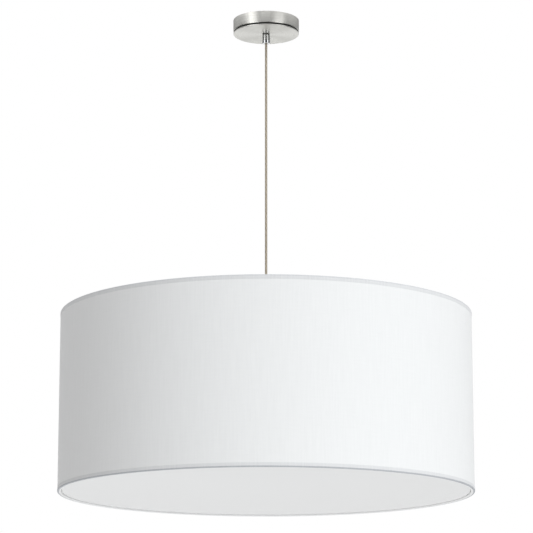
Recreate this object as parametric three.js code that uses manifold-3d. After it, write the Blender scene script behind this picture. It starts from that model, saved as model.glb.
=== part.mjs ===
// A drum pendant light: a round ceiling canopy, one length of flex, and a wide drum shade that
// is closed below by a flat diffuser and lit by four lamps on a cluster.
// Millimetres, +Z up. The origin is the centre of the ceiling plane, and all of it hangs below.

import * as THREE from 'three';
import { mergeVertices } from 'three/addons/utils/BufferGeometryUtils.js';
import Module from 'manifold-3d';

const wasm = await Module();
wasm.setup();

// Driving dimensions of the whole light
const shadeDiameter = 762;
const shadeHeight = 330;
const flexLength = 543;
const flexDiameter = 4.5;
const canopyDiameter = 125;
const canopyHeight = 27;
const spiderRecess = 38;

// Clearances, and one overrun that all cuts share
const seatGap = 0.3;
const bondGap = 0.3;
const cutOverrun = 2;
const mergeTolerance = 1e-4;

// Counts and angles
const lampCount = 4;
const spiderArmCount = 4;
const catchCount = 4;
const poleCount = 3;
const firstArmAngle = Math.PI / 4;
const swingAngle = THREE.MathUtils.degToRad(15);
const wallSides = 64;
const canopySides = 48;
const smallSides = 16;
const hexSides = 6;
const wireSides = 8;
const leadSides = 6;
const hoopSides = 6;
const bendSteps = 4;
const leadSteps = 32;
const flexStepDiameters = 3;

// Shade: a hard lining between two wire hoops, with fabric bonded on and turned over the hoops
const hemProud = 0.4;
const hemHeight = 8;
const fabricThickness = 0.5;
const liningThickness = 0.8;
const hoopWire = 4;
const hookHeight = 7;
const hemRadius = shadeDiameter / 2;
const skinRadius = hemRadius - hemProud;
const skinInside = skinRadius - fabricThickness;
const liningRadius = skinInside - bondGap;
const liningInside = liningRadius - liningThickness;
const hoopRadius = liningInside - seatGap - hoopWire / 2;
const hookOutside = hoopRadius - hoopWire / 2 - seatGap;
const hookInside = hookOutside - fabricThickness;

// Canopy and the bar that carries it
const canopyWall = 1;
const canopyEdge = 1.2;
const canopyRadius = canopyDiameter / 2;
const canopyInside = canopyRadius - canopyWall;
const canopyFace = -canopyHeight;
const barWidth = 20;
const barThickness = 1.6;
const earDepth = 15;
const barReach = Math.sqrt(canopyInside ** 2 - (barWidth / 2) ** 2)
  * Math.cos(Math.PI / canopySides) - seatGap;
const boxScrewSpacing = 88.9;
const slotLength = 12;
const slotWidth = 5;
const canopyScrewRadius = 2;
const canopyScrewLength = 9;
const canopyScrewDrop = 9;
const canopyScrewSocket = 0.9;
const canopyScrewSocketDepth = 2;

// Flex grips: a turned cap that squeezes a nylon insert round the flex
const flexRadius = flexDiameter / 2;
const threadRadius = 5;
const threadBore = threadRadius + seatGap;
const tubeBore = 3.4;
const gripRadius = 7.5;
const gripLength = 18.2;
const gripLip = 3;
const gripEdge = 0.6;
const gripInsertLength = 6;
const gripStemRise = 4;
const locknutHeight = 3;
const locknutFlats = 14;

// The heights of the stack, from the ceiling down to the rim of the shade
const flexEndGap = flexRadius * Math.sin(swingAngle) + seatGap;
const ringNutHeight = 4;
const ringNutFlats = 17;
const washerThickness = 2.5;
const washerRadius = 22;
const collarRadius = 8;
const collarHeight = 24;
const gripMouth = canopyFace - seatGap - gripLength;
const flexTop = gripMouth - flexEndGap;
const flexBottom = flexTop - flexLength;
const lowerMouth = flexBottom - flexEndGap;
const ringNutTop = lowerMouth - gripLength - seatGap;
const washerTop = ringNutTop - ringNutHeight - seatGap;
const collarTop = washerTop - washerThickness - seatGap;
const housingTop = collarTop - collarHeight - seatGap;
const shadeTop = washerTop + spiderRecess;
const shadeBottom = shadeTop - shadeHeight;

// Spider wires, from the washer out to the wall and up to the top hoop
const spiderWire = 4;
const spiderStart = 13;
const spiderBend = 12;
const topHoopHeight = shadeTop - fabricThickness - seatGap - hoopWire / 2;
const bottomHoopHeight = shadeBottom + fabricThickness + seatGap + hoopWire / 2;

// Diffuser, and the magnets that hold it
const diffuserRecess = 2.5;
const diffuserThickness = 1;
const diffuserClearance = 1.5;
const diffuserHoopWidth = 10;
const diffuserHoopThickness = 1.2;
const diffuserRadius = hookInside - diffuserClearance;
const diffuserUnder = shadeBottom + diffuserRecess;
const diffuserHoopUnder = diffuserUnder + diffuserThickness + seatGap;
const magnetFace = diffuserHoopUnder + diffuserHoopThickness + seatGap;
const catchWidth = 12;
const catchPlate = 1.5;
const catchLift = 1;
const magnetSetback = 1;
const magnetDepth = 10;

// Cluster: a round box on the threaded tube, closed by a cover and a cap nut
const housingRadius = 42;
const housingHeight = 34;
const housingWall = 1.5;
const coverThickness = 1.5;
const capNutRadius = 9;
const capNutHeight = 11;
const capNutFace = 4;
const capNutShoulder = 6;
const capNutBore = 8;
const housingBottom = housingTop - housingHeight;
const coverTop = housingBottom - seatGap;
const capNutTop = coverTop - coverThickness - seatGap;
const lampHeight = housingTop - housingHeight / 2;

// Lamp arms, holders and lamps, along each lamp's own axis from the centre outwards
const armInset = 4;
const armReach = 46;
const armStart = housingRadius - housingWall - armInset;
const holderStart = housingRadius + armReach;
const holderBase = 9;
const holderLip = 2;
const holderWall = 4;
const holderShoulder = 8;
const holderNeckRadius = 12;
const capRadius = 13.2;
const capLength = 25;
const capTipRadius = 4.5;
const capTipRise = 3;
const shellWall = 0.5;
const shellInside = capRadius + seatGap;
const shellRadius = shellInside + shellWall;
const holderBore = shellRadius + seatGap;
const holderRadius = holderBore + holderWall;
const shellStart = holderStart + holderBase + seatGap;
const capStart = shellStart + shellWall + seatGap;
const shellEnd = capStart + capLength;
const holderMouth = shellEnd + holderLip;
const globeStart = shellEnd + seatGap;
const globeRadius = 30;
const globeLength = 82;
const globeWall = 1.2;

// Radius and height of the lamp's glass, as shares of its radius and its length
const globeOutlineShares = [
  [0.45, 0], [0.5, 0.12], [0.74, 0.36], [0.95, 0.54], [1, 0.66], [0.93, 0.82], [0.66, 0.95], [0, 1],
];

// Terminal block, ground screw and leads inside the canopy
const blockLength = 26;
const blockWidth = 15;
const blockHeight = 12;
const blockStart = 8;
const blockTop = -barThickness - seatGap;
const leadRadius = 0.8;
const leadHole = 1.3;
const leadEntry = 3;
const poleScrewRadius = 1.6;
const poleScrewDepth = 4;
const groundScrewPlace = -30;
const groundHeadRadius = 4;
const groundHeadHeight = 2.5;
const groundShankRadius = 1.9;
const leadSpread = 1.2;
const leadTurn = 7;
const sheathEnd = [-20, -7, -10.5];

const satinNickel = finish(0xb9b6b0, 0.32, 1);
const chrome = finish(0xd6d8da, 0.08, 1);
const zincSteel = finish(0xa9adb0, 0.45, 1);
const brass = finish(0xc9a64f, 0.3, 1);
const whiteEnamel = finish(0xf1f0ec, 0.4, 0);
const whiteFabric = finish(0xeeeff0, 0.9, 0);
const whiteLining = finish(0xf7f6f2, 0.6, 0);
const diffuserFilm = finish(0xe6e6e6, 0.7, 0);
const opalGlobe = finish(0xf4f2ea, 0.35, 0);
const phenolic = finish(0xe8e5dd, 0.5, 0);
const nylon = finish(0xdad8d0, 0.5, 0);
const silverFlex = finish(0xb0a795, 0.4, 0);
const blackLead = finish(0x24221f, 0.5, 0);
const whiteLead = finish(0xe6e3db, 0.5, 0);
const greenLead = finish(0x2f7d3c, 0.5, 0);
const greenScrew = finish(0x3b8a45, 0.4, 1);

function finish(color, roughness, metalness) {
  return new THREE.MeshStandardMaterial({ color, roughness, metalness });
}

// A solid turned about +Z from an outline of [radius, height] points. An outline that doesn't
// start and end on the axis is closed on itself.
function turned(outline, sides = smallSides) {
  const points = outline.map(([radius, height]) => new THREE.Vector2(radius, height));
  if (THREE.ShapeUtils.isClockWise(points)) points.reverse();
  const onAxis = points[0].x === 0 && points[points.length - 1].x === 0;
  if (!onAxis) points.push(points[0].clone());
  return new THREE.LatheGeometry(points, sides).rotateX(Math.PI / 2);
}

function ring(outer, inner, low, high, sides) {
  return turned([[outer, low], [outer, high], [inner, high], [inner, low]], sides);
}

function disc(radius, low, high, sides) {
  return turned([[0, low], [radius, low], [radius, high], [0, high]], sides);
}

function polygon(radius, sides, path = new THREE.Shape()) {
  for (let side = 0; side < sides; side += 1) {
    const angle = 2 * Math.PI * side / sides;
    const [x, y] = [radius * Math.cos(angle), radius * Math.sin(angle)];
    if (side === 0) path.moveTo(x, y);
    else path.lineTo(x, y);
  }
  path.closePath();
  return path;
}

function extruded(shape, depth) {
  return new THREE.ExtrudeGeometry(shape, { depth, bevelEnabled: false, steps: 1 });
}

// A path that stops at each of its points in turn, so a straight run costs one step.
class PointPath extends THREE.Curve {
  constructor(points) {
    super();
    this.points = points;
  }

  indexAt(t) {
    return Math.round(t * (this.points.length - 1));
  }

  getPoint(t, target = new THREE.Vector3()) {
    return target.copy(this.points[this.indexAt(t)]);
  }

  getPointAt(t, target) {
    return this.getPoint(t, target);
  }

  getTangentAt(t, target = new THREE.Vector3()) {
    const index = this.indexAt(t);
    const before = this.points[Math.max(index - 1, 0)];
    const after = this.points[Math.min(index + 1, this.points.length - 1)];
    return target.copy(after).sub(before).normalize();
  }
}

function wire(points, radius, sides) {
  const path = new PointPath(points);
  const steps = points.length - 1;
  return new THREE.ExtrudeGeometry(polygon(radius, sides), { steps, extrudePath: path });
}

// A wire along a smooth curve through a few chosen points.
function bentWire(corners, radius, sides, steps) {
  const curve = new THREE.CatmullRomCurve3(corners.map((corner) => new THREE.Vector3(...corner)));
  return new THREE.ExtrudeGeometry(polygon(radius, sides), { steps, extrudePath: curve });
}

function asManifold(geometry) {
  const bare = geometry.clone();
  bare.deleteAttribute('normal');
  bare.deleteAttribute('uv');
  const merged = mergeVertices(bare, mergeTolerance);
  const corners = merged.index.array;
  const kept = [];
  for (let at = 0; at < corners.length; at += 3) {
    const [a, b, c] = corners.slice(at, at + 3);
    if (a !== b && b !== c && c !== a) kept.push(a, b, c);
  }
  return new wasm.Manifold(new wasm.Mesh({
    numProp: 3,
    vertProperties: merged.attributes.position.array,
    triVerts: new Uint32Array(kept),
  }));
}

function cut(base, ...tools) {
  let body = asManifold(base);
  for (const tool of tools) body = body.subtract(asManifold(tool));
  const { vertProperties, triVerts } = body.getMesh();
  const geometry = new THREE.BufferGeometry();
  geometry.setAttribute('position', new THREE.BufferAttribute(vertProperties, 3));
  geometry.setIndex(new THREE.BufferAttribute(triVerts, 1));
  geometry.computeVertexNormals();
  return geometry;
}

// A drill along +X, +Y or +Z, for cuts: from start to end on that axis.
function drill(axis, radius, start, end, sides = smallSides) {
  const tool = disc(radius, start, end, sides);
  if (axis === 'x') tool.rotateY(Math.PI / 2);
  if (axis === 'y') tool.rotateX(-Math.PI / 2);
  return tool;
}

function add(parent, name, geometry, material) {
  const mesh = new THREE.Mesh(geometry, material);
  mesh.name = name;
  parent.add(mesh);
  return mesh;
}

// A group turned about +Z, for the pieces that repeat round the light.
function turnedGroup(parent, index, count) {
  const group = new THREE.Group();
  group.rotation.z = firstArmAngle + 2 * Math.PI * index / count;
  parent.add(group);
  return group;
}

function mountingBar() {
  const profile = new THREE.Shape();
  profile.moveTo(-barReach, 0);
  profile.lineTo(-barReach, -earDepth);
  profile.lineTo(-barReach + barThickness, -earDepth);
  profile.lineTo(-barReach + barThickness, -barThickness);
  profile.lineTo(barReach - barThickness, -barThickness);
  profile.lineTo(barReach - barThickness, -earDepth);
  profile.lineTo(barReach, -earDepth);
  profile.lineTo(barReach, 0);
  const bar = extruded(profile, barWidth).rotateX(Math.PI / 2).translate(0, barWidth / 2, 0);
  const slots = [-1, 1].map((side) => barSlot(side * boxScrewSpacing / 2));
  const groundHole = drill('z', groundShankRadius + seatGap, -barThickness - cutOverrun, cutOverrun)
    .translate(groundScrewPlace, 0, 0);
  const screwHole = drill('x', canopyScrewRadius + seatGap, -canopyRadius, canopyRadius)
    .translate(0, 0, -canopyScrewDrop);
  return cut(bar, ...slots, groundHole, screwHole);
}

function barSlot(place) {
  const outline = new THREE.Shape();
  const straight = (slotLength - slotWidth) / 2;
  outline.absarc(straight, 0, slotWidth / 2, -Math.PI / 2, Math.PI / 2, false);
  outline.absarc(-straight, 0, slotWidth / 2, Math.PI / 2, 3 * Math.PI / 2, false);
  const depth = barThickness + 2 * cutOverrun;
  const slot = new THREE.ExtrudeGeometry(outline, {
    depth, bevelEnabled: false, curveSegments: bendSteps,
  });
  return slot.translate(place, 0, -barThickness - cutOverrun);
}

function canopyCup() {
  const edge = [];
  for (let step = 0; step <= bendSteps; step += 1) {
    const angle = Math.PI / 2 * step / bendSteps;
    edge.push([
      canopyRadius - canopyEdge + canopyEdge * Math.cos(angle),
      canopyFace + canopyEdge - canopyEdge * Math.sin(angle),
    ]);
  }
  const cup = turned([
    [canopyRadius, 0],
    ...edge,
    [threadBore, canopyFace],
    [threadBore, canopyFace + canopyWall],
    [canopyInside, canopyFace + canopyWall],
    [canopyInside, 0],
  ], canopySides);
  const reach = canopyRadius + cutOverrun;
  const screwHole = drill('x', canopyScrewRadius + seatGap, -reach, reach)
    .translate(0, 0, -canopyScrewDrop);
  return cut(cup, screwHole);
}

// A headless screw that lies flush in the canopy's wall, with its socket at the outer end.
function canopyScrew() {
  return turned([
    [0, -canopyScrewLength],
    [canopyScrewRadius, -canopyScrewLength],
    [canopyScrewRadius, 0],
    [canopyScrewSocket, 0],
    [canopyScrewSocket, -canopyScrewSocketDepth],
    [0, -canopyScrewSocketDepth],
  ]);
}

function hexNut(flats, height) {
  const cornerRadius = flats / 2 / Math.cos(Math.PI / hexSides);
  const outline = polygon(cornerRadius, hexSides);
  outline.holes.push(polygon(threadBore, smallSides, new THREE.Path()));
  return extruded(outline, height);
}

// The grip's cap, with its mouth at height zero and facing up, and its thread below.
function gripCap() {
  const mouth = flexRadius + seatGap;
  return turned([
    [gripRadius, -gripLength],
    [gripRadius, -gripEdge],
    [gripRadius - gripEdge, 0],
    [mouth, 0],
    [mouth, -gripLip],
    [threadBore, -gripLip],
    [threadBore, -gripLength],
  ], canopySides / 2);
}

function gripInsert() {
  const top = -gripLip - seatGap;
  return ring(threadRadius, flexRadius + seatGap, top - gripInsertLength, top);
}

// The height of a threaded tube's end in a grip, under the insert and down from the mouth.
const gripSeat = gripLip + gripInsertLength + 2 * seatGap;

function canopyWiring(parent) {
  const [endX, endY, endZ] = sheathEnd;
  const stemTop = canopyFace + canopyWall + seatGap + locknutHeight + gripStemRise;
  const tail = [
    [0, 0, gripMouth],
    [0, 0, gripMouth / 2 + canopyFace / 2],
    [0, 0, canopyFace],
    [0, 0, stemTop - gripStemRise / 2],
    [endX / 10, endY / 10, stemTop + gripStemRise / 2],
    [endX / 2, endY * 3 / 4, endZ - flexRadius / 4],
    [endX + flexRadius, endY, endZ],
    [endX, endY, endZ],
  ];
  add(parent, 'flex_tail', bentWire(tail, flexRadius, wireSides, leadSteps), silverFlex);

  const pitch = blockLength / poleCount;
  const entryY = -blockWidth / 2 + leadEntry;
  const entryZ = blockTop - blockHeight / 2;
  const start = endX - seatGap;

  // A lead leaves the sheath, turns back in a half circle, and runs along the block to its pole.
  const route = (side, pole) => {
    const turnX = start - flexRadius;
    const turnY = endY - leadTurn;
    const radius = leadTurn + side * leadSpread;
    const poleX = blockStart + pitch * (pole + 1 / 2);
    const points = [[start, endY + side * leadSpread, endZ]];
    for (let step = 0; step <= bendSteps; step += 1) {
      const angle = Math.PI / 2 + Math.PI * step / bendSteps;
      points.push([turnX + radius * Math.cos(angle), turnY + radius * Math.sin(angle), endZ]);
    }
    points.push([0, turnY - radius, (endZ + entryZ) / 2]);
    points.push([poleX - flexDiameter, turnY - radius, entryZ]);
    points.push([poleX, turnY - radius + flexDiameter, entryZ]);
    points.push([poleX, entryY, entryZ]);
    return points;
  };
  const groundZ = blockTop - groundHeadHeight / 2;
  const ground = [
    [start, endY, endZ + leadSpread],
    [start - flexRadius, endY, endZ + leadSpread],
    [groundScrewPlace + flexRadius, endY - flexRadius / 2, endZ + flexRadius],
    [groundScrewPlace, endY - flexRadius / 2, groundZ - leadRadius],
    [groundScrewPlace, -groundHeadRadius - seatGap, groundZ],
  ];
  const live = bentWire(route(-1, 0), leadRadius, leadSides, leadSteps);
  const neutral = bentWire(route(1, 1), leadRadius, leadSides, leadSteps);
  add(parent, 'live_lead', live, blackLead);
  add(parent, 'neutral_lead', neutral, whiteLead);
  add(parent, 'ground_lead', bentWire(ground, leadRadius, leadSides, leadSteps / 2), greenLead);
}

function terminalBlock() {
  const pitch = blockLength / poleCount;
  const block = new THREE.BoxGeometry(blockLength, blockWidth, blockHeight)
    .translate(blockStart + blockLength / 2, 0, blockTop - blockHeight / 2);
  const cuts = [];
  for (let pole = 0; pole < poleCount; pole += 1) {
    const x = blockStart + pitch * (pole + 1 / 2);
    const entryEnd = -blockWidth / 2 + leadEntry + seatGap;
    const reach = -blockWidth / 2 - cutOverrun;
    cuts.push(drill('y', leadHole, reach, entryEnd, wireSides)
      .translate(x, 0, blockTop - blockHeight / 2));
    const under = blockTop - blockHeight;
    cuts.push(drill('z', poleScrewRadius, under - cutOverrun, under + poleScrewDepth, wireSides)
      .translate(x, blockWidth / 4, 0));
  }
  return cut(block, ...cuts);
}

function groundScrew() {
  const headTop = blockTop;
  const headUnder = headTop - groundHeadHeight;
  return turned([
    [0, headUnder],
    [groundHeadRadius, headUnder],
    [groundHeadRadius, headTop],
    [groundShankRadius, headTop],
    [groundShankRadius, -seatGap],
    [0, -seatGap],
  ]).translate(groundScrewPlace, 0, 0);
}

function ceilingAssembly(light) {
  add(light, 'mounting_bar', mountingBar(), zincSteel);
  add(light, 'terminal_block', terminalBlock(), nylon);
  add(light, 'ground_screw', groundScrew(), greenScrew);
  add(light, 'canopy', canopyCup(), satinNickel);
  for (const [index, side] of [-1, 1].entries()) {
    const screw = add(light, `canopy_screw_${index + 1}`, canopyScrew(), satinNickel);
    screw.rotation.y = side * Math.PI / 2;
    screw.position.set(side * (canopyRadius - seatGap), 0, -canopyScrewDrop);
  }
  const locknut = add(light, 'grip_locknut', hexNut(locknutFlats, locknutHeight), brass);
  locknut.position.z = canopyFace + canopyWall + seatGap;
  const stemTop = locknut.position.z + locknutHeight + gripStemRise;
  add(light, 'grip_stem', ring(threadRadius, tubeBore, gripMouth + gripSeat, stemTop), brass);
  const grip = new THREE.Group();
  grip.rotation.x = Math.PI;
  grip.position.z = gripMouth;
  light.add(grip);
  add(grip, 'grip_cap', gripCap(), chrome);
  add(grip, 'grip_insert', gripInsert(), nylon);
  canopyWiring(light);
}

function straightWire(start, end, radius, sides, steps) {
  const points = [];
  for (let step = 0; step <= steps; step += 1) {
    points.push(new THREE.Vector3(0, 0, THREE.MathUtils.lerp(start, end, step / steps)));
  }
  return wire(points, radius, sides);
}

function stemAssembly(light) {
  const cap = add(light, 'lower_grip_cap', gripCap(), chrome);
  const insert = add(light, 'lower_grip_insert', gripInsert(), nylon);
  cap.position.z = lowerMouth;
  insert.position.z = lowerMouth;
  const nippleEnd = capNutTop - capNutBore + seatGap;
  add(light, 'nipple', ring(threadRadius, tubeBore, nippleEnd, lowerMouth - gripSeat), zincSteel);
  const ringNut = add(light, 'ring_nut', hexNut(ringNutFlats, ringNutHeight), zincSteel);
  ringNut.position.z = ringNutTop - ringNutHeight;
  add(light, 'cap_nut', turned([
    [0, capNutTop - capNutHeight],
    [capNutFace, capNutTop - capNutHeight],
    [capNutRadius, capNutTop - capNutShoulder],
    [capNutRadius, capNutTop],
    [threadBore, capNutTop],
    [threadBore, capNutTop - capNutBore],
    [0, capNutTop - capNutBore],
  ]), satinNickel);
  const innerFlex = straightWire(lowerMouth, lampHeight, flexRadius, wireSides, bendSteps);
  add(light, 'inner_flex', innerFlex, silverFlex);
}

// One spider wire: out along the washer, up in a bend, and up the wall to the top hoop.
function spiderArm() {
  const height = washerTop + seatGap + spiderWire / 2;
  const end = topHoopHeight - hoopWire / 2 - seatGap;
  const points = [new THREE.Vector3(spiderStart, 0, height)];
  for (let step = 0; step <= bendSteps; step += 1) {
    const angle = Math.PI / 2 * step / bendSteps;
    points.push(new THREE.Vector3(
      hoopRadius - spiderBend + spiderBend * Math.sin(angle),
      0,
      height + spiderBend - spiderBend * Math.cos(angle),
    ));
  }
  points.push(new THREE.Vector3(hoopRadius, 0, end));
  return wire(points, spiderWire / 2, wireSides);
}

function hoop(height) {
  const section = [];
  for (let side = 0; side < hoopSides; side += 1) {
    const angle = 2 * Math.PI * side / hoopSides;
    section.push([
      hoopRadius + hoopWire / 2 * Math.sin(angle),
      height + hoopWire / 2 * Math.cos(angle),
    ]);
  }
  return turned(section, wallSides);
}

// The fabric's section: a thin skin up the outside that is turned in over both hoops, with a
// proud hem along each rim.
function fabricSkin() {
  const innerTop = shadeTop - fabricThickness;
  const innerBottom = shadeBottom + fabricThickness;
  return turned([
    [hemRadius, shadeBottom],
    [hemRadius, shadeBottom + hemHeight],
    [skinRadius, shadeBottom + hemHeight],
    [skinRadius, shadeTop - hemHeight],
    [hemRadius, shadeTop - hemHeight],
    [hemRadius, shadeTop],
    [hookInside, shadeTop],
    [hookInside, shadeTop - hookHeight],
    [hookOutside, shadeTop - hookHeight],
    [hookOutside, innerTop],
    [skinInside, innerTop],
    [skinInside, innerBottom],
    [hookOutside, innerBottom],
    [hookOutside, shadeBottom + hookHeight],
    [hookInside, shadeBottom + hookHeight],
    [hookInside, shadeBottom],
  ], wallSides);
}

// One magnet on its bent tab: a foot on the bottom hoop, a plate over the fabric's turned edge,
// and the magnet under the plate.
function magnetCatch() {
  const under = shadeBottom + hookHeight + catchLift;
  const foot = bottomHoopHeight + hoopWire / 2 + seatGap;
  const footOutside = hoopRadius + hoopWire / 2 - seatGap;
  const footInside = hoopRadius - hoopWire / 2;
  const magnetOutside = hookInside - magnetSetback;
  const magnetInside = magnetOutside - magnetDepth;
  const outline = new THREE.Shape([
    new THREE.Vector2(magnetInside, magnetFace),
    new THREE.Vector2(magnetOutside, magnetFace),
    new THREE.Vector2(magnetOutside, under),
    new THREE.Vector2(footInside, under),
    new THREE.Vector2(footInside, foot),
    new THREE.Vector2(footOutside, foot),
    new THREE.Vector2(footOutside, under + catchPlate),
    new THREE.Vector2(magnetInside, under + catchPlate),
  ]);
  return extruded(outline, catchWidth).rotateX(Math.PI / 2).translate(0, catchWidth / 2, 0);
}

function shadeAssembly(light) {
  const washer = ring(washerRadius, threadBore, washerTop - washerThickness, washerTop);
  add(light, 'spider_washer', washer, whiteEnamel);
  for (let arm = 0; arm < spiderArmCount; arm += 1) {
    add(turnedGroup(light, arm, spiderArmCount), `spider_arm_${arm + 1}`, spiderArm(), whiteEnamel);
  }
  add(light, 'top_hoop', hoop(topHoopHeight), whiteEnamel);
  add(light, 'bottom_hoop', hoop(bottomHoopHeight), whiteEnamel);
  const liningFoot = shadeBottom + fabricThickness + seatGap;
  const liningHead = shadeTop - fabricThickness - seatGap;
  const lining = ring(liningRadius, liningInside, liningFoot, liningHead, wallSides);
  add(light, 'shade_lining', lining, whiteLining);
  add(light, 'shade_fabric', fabricSkin(), whiteFabric);
  for (let index = 0; index < catchCount; index += 1) {
    const group = turnedGroup(light, index, catchCount);
    add(group, `magnet_catch_${index + 1}`, magnetCatch(), zincSteel);
  }
}

function diffuserAssembly(light) {
  const hoopTop = diffuserHoopUnder + diffuserHoopThickness;
  const hoopInside = diffuserRadius - diffuserHoopWidth;
  const flatHoop = ring(diffuserRadius, hoopInside, diffuserHoopUnder, hoopTop, wallSides);
  add(light, 'diffuser_hoop', flatHoop, zincSteel);
  const sheet = disc(diffuserRadius, diffuserUnder, diffuserUnder + diffuserThickness, wallSides);
  add(light, 'diffuser_sheet', sheet, diffuserFilm);
}

function clusterHousing() {
  const cup = turned([
    [threadBore, housingTop],
    [housingRadius, housingTop],
    [housingRadius, housingBottom],
    [housingRadius - housingWall, housingBottom],
    [housingRadius - housingWall, housingTop - housingWall],
    [threadBore, housingTop - housingWall],
  ], canopySides);
  const holes = [];
  for (let lamp = 0; lamp < lampCount; lamp += 1) {
    const hole = drill('x', threadBore, armStart, housingRadius + cutOverrun);
    hole.rotateZ(firstArmAngle + 2 * Math.PI * lamp / lampCount);
    holes.push(hole.translate(0, 0, lampHeight));
  }
  return cut(cup, ...holes);
}

function lampHolder() {
  const back = holderStart;
  return turned([
    [threadBore, back],
    [holderNeckRadius, back],
    [holderRadius, back + holderShoulder],
    [holderRadius, holderMouth],
    [holderBore, holderMouth],
    [holderBore, back + holderBase],
    [threadBore, back + holderBase],
  ]);
}

function screwShell() {
  return turned([
    [0, shellStart],
    [shellRadius, shellStart],
    [shellRadius, shellEnd],
    [shellInside, shellEnd],
    [shellInside, shellStart + shellWall],
    [0, shellStart + shellWall],
  ]);
}

function lampCap() {
  return turned([
    [0, capStart],
    [capTipRadius, capStart],
    [capRadius, capStart + capTipRise],
    [capRadius, capStart + capLength],
    [0, capStart + capLength],
  ]);
}

function lampGlobe() {
  const outline = (radius, length) => globeOutlineShares.map(([r, h]) => [
    r * radius,
    globeStart + h * length,
  ]);
  const outside = outline(globeRadius, globeLength);
  const inside = outline(globeRadius - globeWall, globeLength - globeWall);
  return turned([...inside.reverse(), ...outside]);
}

function lampAssembly(light, lamp) {
  const spoke = turnedGroup(light, lamp, lampCount);
  const axis = new THREE.Group();
  axis.rotation.y = Math.PI / 2;
  axis.position.z = lampHeight;
  spoke.add(axis);
  const armEnd = holderStart + holderBase;
  const number = lamp + 1;
  add(axis, `cluster_arm_${number}`, ring(threadRadius, tubeBore, armStart, armEnd), whiteEnamel);
  add(axis, `lampholder_${number}`, lampHolder(), phenolic);
  add(axis, `screw_shell_${number}`, screwShell(), brass);
  add(axis, `bulb_cap_${number}`, lampCap(), zincSteel);
  add(axis, `bulb_globe_${number}`, lampGlobe(), opalGlobe);
}

function clusterAssembly(light) {
  const collar = ring(collarRadius, threadBore, collarTop - collarHeight, collarTop);
  add(light, 'stem_collar', collar, whiteEnamel);
  add(light, 'cluster_housing', clusterHousing(), whiteEnamel);
  const cover = ring(housingRadius, threadBore, coverTop - coverThickness, coverTop, canopySides);
  add(light, 'cluster_cover', cover, whiteEnamel);
  for (let lamp = 0; lamp < lampCount; lamp += 1) lampAssembly(light, lamp);
}

function freeFlex() {
  const steps = Math.round(flexLength / (flexStepDiameters * flexDiameter));
  return straightWire(flexTop, flexBottom, flexRadius, wireSides, steps);
}

const light = new THREE.Group();
ceilingAssembly(light);
add(light, 'flex', freeFlex(), silverFlex);
stemAssembly(light);
shadeAssembly(light);
diffuserAssembly(light);
clusterAssembly(light);

export default light;
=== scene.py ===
# %% [markdown]
# # A drum pendant light
#
# This notebook dresses a fixed frame of solids as a drum pendant light. A brushed nickel
# canopy and a small chrome grip carry a clear flex, and the flex carries a wide white shade
# that is closed below by a flat diffuser. Four lamps on a cluster hang inside it.
#
# The frame has every piece at its real size, and the bodies that its joints move. Each step
# says what a piece is on the real light, how it could be modelled, and why one way was chosen.
# Blender counts in metres, so a size from a drawing is written as mm(12).

# %% Load the frame and keep its box
import math

import bpy
from mathutils import Matrix, Vector


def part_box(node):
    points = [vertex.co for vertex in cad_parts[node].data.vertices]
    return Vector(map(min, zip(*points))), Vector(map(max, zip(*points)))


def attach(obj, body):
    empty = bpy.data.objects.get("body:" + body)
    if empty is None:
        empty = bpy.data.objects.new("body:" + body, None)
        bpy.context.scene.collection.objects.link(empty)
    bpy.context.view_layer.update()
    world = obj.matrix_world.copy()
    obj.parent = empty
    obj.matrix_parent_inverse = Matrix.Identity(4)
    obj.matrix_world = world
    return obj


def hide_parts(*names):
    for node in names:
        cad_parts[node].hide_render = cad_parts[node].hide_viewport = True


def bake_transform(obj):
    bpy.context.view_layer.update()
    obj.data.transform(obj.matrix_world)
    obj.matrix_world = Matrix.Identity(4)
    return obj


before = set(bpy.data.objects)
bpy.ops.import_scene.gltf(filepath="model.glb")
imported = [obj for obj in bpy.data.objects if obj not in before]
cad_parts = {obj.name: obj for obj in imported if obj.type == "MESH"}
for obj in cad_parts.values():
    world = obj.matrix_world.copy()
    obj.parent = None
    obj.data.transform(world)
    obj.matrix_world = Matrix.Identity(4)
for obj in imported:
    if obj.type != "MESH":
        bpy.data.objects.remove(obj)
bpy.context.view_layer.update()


# %% Millimetres, and the box of a piece
def mm(length):
    return length / 1000


clearance = mm(0.3)  # between pieces that lie close but don't touch


def widest(node):
    """How far a node reaches from the light's own axis, along X."""
    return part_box(node)[1].x


def heights(node):
    """The lowest and the highest point of a node."""
    low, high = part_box(node)
    return low.z, high.z


print("shade: across", round(2 * widest("shade_fabric"), 4), "heights", heights("shade_fabric"))

# %% [markdown]
# ## Camera
#
# The light is seen from below the shade and from straight in front. A long lens was used from
# more than four metres away: the shade's two rims are almost alike in width, and only the open
# angle between them tells the distance. Distance, height and pitch were worked out from the
# real sizes of the shade and the canopy. The focal length is given as pixels of a 533 pixel
# frame, which Blender wants as millimetres on a 36 mm sensor.

# %% Camera
frame_pixels = 533
focal_pixels = 2400
sensor_width = 36
camera_place = Vector((mm(0.7), -4.3796, -1.4257))
camera_pitch = math.radians(12.189)

camera_data = bpy.data.cameras.new("camera")
camera_data.sensor_width = sensor_width
camera_data.lens = sensor_width * focal_pixels / frame_pixels
camera = bpy.data.objects.new("camera", camera_data)
camera.location = camera_place
camera.rotation_euler = (math.pi / 2 + camera_pitch, 0, 0)
bpy.context.scene.collection.objects.link(camera)
bpy.context.scene.camera = camera
print("lens:", round(camera_data.lens, 1), "mm")

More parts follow.
